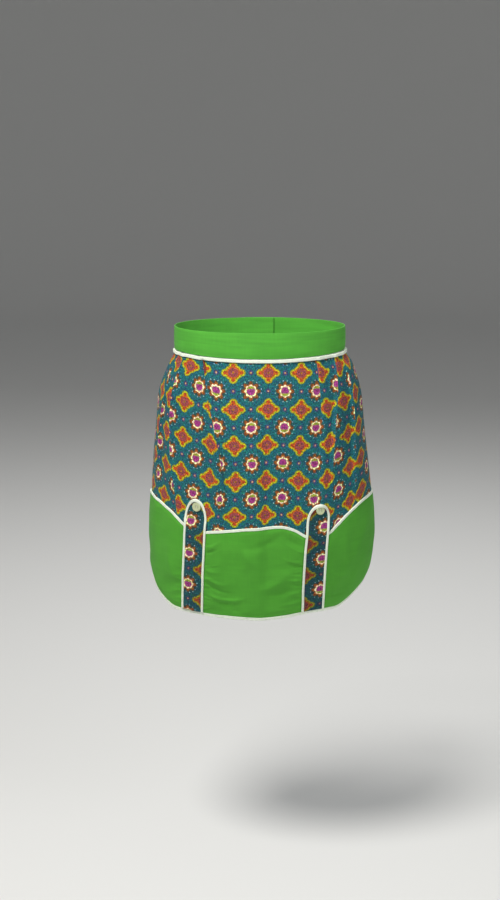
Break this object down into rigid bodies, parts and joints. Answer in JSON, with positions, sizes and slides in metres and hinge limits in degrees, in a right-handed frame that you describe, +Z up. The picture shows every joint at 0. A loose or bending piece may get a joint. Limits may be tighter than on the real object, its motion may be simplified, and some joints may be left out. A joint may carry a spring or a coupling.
{
  "type": "waist apron",
  "caption": "Half apron in worn form: waistband loop, printed skirt with tucks, green shaped border with white piping, and buttoned tabs.",
  "frame": {"origin": "centre of the waist loop at half the height of the waistband", "axes": "+Z up, the front of the apron faces -Y, +X is the viewer's right"},
  "size_m": [0.3936, 0.2357, 0.4926],
  "materials": {
    "green_cotton": "plain woven grass green cotton",
    "print_cotton": "teal cotton with a small repeat of flowers and diamonds",
    "white_piping": "off-white bias piping",
    "button": "pale mottled button"
  },
  "bodies": {
    "root": {"waistband": "green_cotton", "back_button": "button", "waist_piping": "white_piping", "skirt": "print_cotton", "hem_border": "green_cotton", "border_piping": "white_piping", "hem_piping": "white_piping", "tab_left": "print_cotton", "tab_right": "print_cotton", "tab_piping_left": "white_piping", "tab_piping_right": "white_piping", "button_left": "button", "button_right": "button"}
  },
  "joints": []
}
